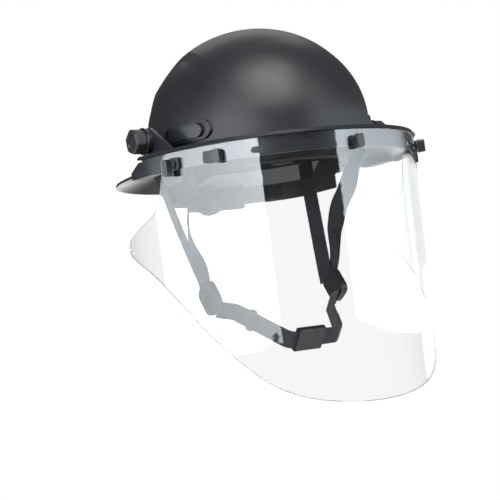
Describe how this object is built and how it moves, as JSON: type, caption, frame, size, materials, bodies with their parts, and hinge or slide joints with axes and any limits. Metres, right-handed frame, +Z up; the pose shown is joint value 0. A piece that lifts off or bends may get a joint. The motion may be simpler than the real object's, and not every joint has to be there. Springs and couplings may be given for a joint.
{
  "type": "face shield",
  "caption": "Full-brim safety hat with a lift-up clear face shield, twist retainers, a ratchet suspension and a chin strap",
  "frame": {"origin": "centre of the head opening, level with the lower edge of the dome's rim", "axes": "+X to the wearer's left, -Y to the front, +Z up"},
  "size_m": [0.297, 0.3272, 0.3731],
  "materials": {
    "shell_black": "satin-matte moulded charcoal black",
    "frame_black": "satin black moulded plastic",
    "visor_clear": "clear polished sheet",
    "hardware_black": "black nylon",
    "buckle_black": "black acetal",
    "suspension_plastic": "black flexible plastic",
    "pad_foam": "cloth-faced foam",
    "webbing_black": "woven polyester webbing",
    "steel": "zinc-plated steel"
  },
  "bodies": {
    "hat": {"accessory_cover_left": "frame_black", "accessory_cover_right": "frame_black", "brim_clip_left": "frame_black", "brim_clip_right": "frame_black", "brow_pad": "pad_foam", "buckle_socket": "buckle_black", "chin_strap_left": "webbing_black", "chin_strap_right": "webbing_black", "crown_strap_a": "webbing_black", "crown_strap_b": "webbing_black", "headband": "suspension_plastic", "pivot_nut_left": "steel", "pivot_nut_right": "steel", "pivot_washer_left": "buckle_black", "pivot_washer_right": "buckle_black", "shell": "shell_black", "side_adjuster_left": "buckle_black", "side_adjuster_right": "buckle_black", "side_strap_front_left": "webbing_black", "side_strap_front_right": "webbing_black", "side_strap_rear_left": "webbing_black", "side_strap_rear_right": "webbing_black", "strap_anchor_front_left": "buckle_black", "strap_anchor_front_right": "buckle_black", "strap_anchor_rear_left": "buckle_black", "strap_anchor_rear_right": "buckle_black", "suspension_clip_front_left": "suspension_plastic", "suspension_clip_front_right": "suspension_plastic", "suspension_clip_rear_left": "suspension_plastic", "suspension_clip_rear_right": "suspension_plastic"},
    "shield": {"shield_frame": "frame_black", "visor": "visor_clear", "retainer_collar_centre": "hardware_black", "retainer_collar_right_mid": "hardware_black", "retainer_collar_left_mid": "hardware_black", "retainer_collar_right_rear": "hardware_black", "retainer_collar_left_rear": "hardware_black"},
    "retainer_centre": {"retainer_lever_centre": "frame_black"},
    "retainer_right_mid": {"retainer_lever_right_mid": "frame_black"},
    "retainer_left_mid": {"retainer_lever_left_mid": "frame_black"},
    "retainer_right_rear": {"retainer_lever_right_rear": "frame_black"},
    "retainer_left_rear": {"retainer_lever_left_rear": "frame_black"},
    "knob_right": {"pivot_knob_right": "hardware_black"},
    "cam_right": {"cam_lever_right": "buckle_black"},
    "knob_left": {"pivot_knob_left": "hardware_black"},
    "cam_left": {"cam_lever_left": "buckle_black"},
    "nape": {"nape_band": "suspension_plastic", "nape_pad": "pad_foam", "ratchet_housing": "suspension_plastic"},
    "ratchet": {"ratchet_knob": "hardware_black", "ratchet_pinion": "suspension_plastic"},
    "plug": {"buckle_plug": "buckle_black"},
    "keeper": {"strap_keeper": "buckle_black"}
  },
  "joints": [
    {"name": "visor_lift", "type": "hinge", "parent": "hat", "child": "shield", "pos_m": [0, -0.0072, 0.019], "axis": [-1, 0, 0], "range_deg": [0, 85]},
    {"name": "retainer_turn_centre", "type": "hinge", "parent": "shield", "child": "retainer_centre", "pos_m": [0, -0.1559, -0.0112], "axis": [0, -1, 0], "range_deg": [0, 90]},
    {"name": "retainer_turn_right_mid", "type": "hinge", "parent": "shield", "child": "retainer_right_mid", "pos_m": [-0.11318, -0.09958, -0.0112], "axis": [-0.7872, -0.6167, 0], "range_deg": [0, 90]},
    {"name": "retainer_turn_left_mid", "type": "hinge", "parent": "shield", "child": "retainer_left_mid", "pos_m": [0.11318, -0.09958, -0.0112], "axis": [0.7872, -0.6167, 0], "range_deg": [0, 90]},
    {"name": "retainer_turn_right_rear", "type": "hinge", "parent": "shield", "child": "retainer_right_rear", "pos_m": [-0.13541, -0.06091, -0.0112], "axis": [-0.9283, -0.3718, 0], "range_deg": [0, 90]},
    {"name": "retainer_turn_left_rear", "type": "hinge", "parent": "shield", "child": "retainer_left_rear", "pos_m": [0.13541, -0.06091, -0.0112], "axis": [0.9283, -0.3718, 0], "range_deg": [0, 90]},
    {"name": "knob_turn_right", "type": "hinge", "parent": "hat", "child": "knob_right", "pos_m": [-0.14, -0.0072, 0.019], "axis": [-1, 0, 0], "continuous": true},
    {"name": "cam_open_right", "type": "hinge", "parent": "hat", "child": "cam_right", "pos_m": [-0.0769, 0.00766, -0.13449], "axis": [0, 0.8192, -0.5736], "range_deg": [0, 75]},
    {"name": "knob_turn_left", "type": "hinge", "parent": "hat", "child": "knob_left", "pos_m": [0.14, -0.0072, 0.019], "axis": [1, 0, 0], "continuous": true},
    {"name": "cam_open_left", "type": "hinge", "parent": "hat", "child": "cam_left", "pos_m": [0.0769, 0.00766, -0.13449], "axis": [0, -0.8192, 0.5736], "range_deg": [0, 75]},
    {"name": "nape_adjust", "type": "slide", "parent": "hat", "child": "nape", "axis": [0, 1, 0], "range_m": [-0.018, 0.012]},
    {"name": "ratchet_turn", "type": "hinge", "parent": "nape", "child": "ratchet", "pos_m": [0, 0.106, -0.027], "axis": [0, 1, 0], "range_deg": [-310, 207]},
    {"name": "buckle_release", "type": "slide", "parent": "hat", "child": "plug", "axis": [1, 0, 0], "range_m": [0, 0.009]},
    {"name": "keeper_slide", "type": "slide", "parent": "hat", "child": "keeper", "axis": [0.4856, -0.6888, -0.5382], "range_m": [-0.008, 0.012]}
  ],
  "couplings": [
    {"joint": "ratchet_turn", "follows": "nape_adjust", "rad_per_m": 300}
  ]
}
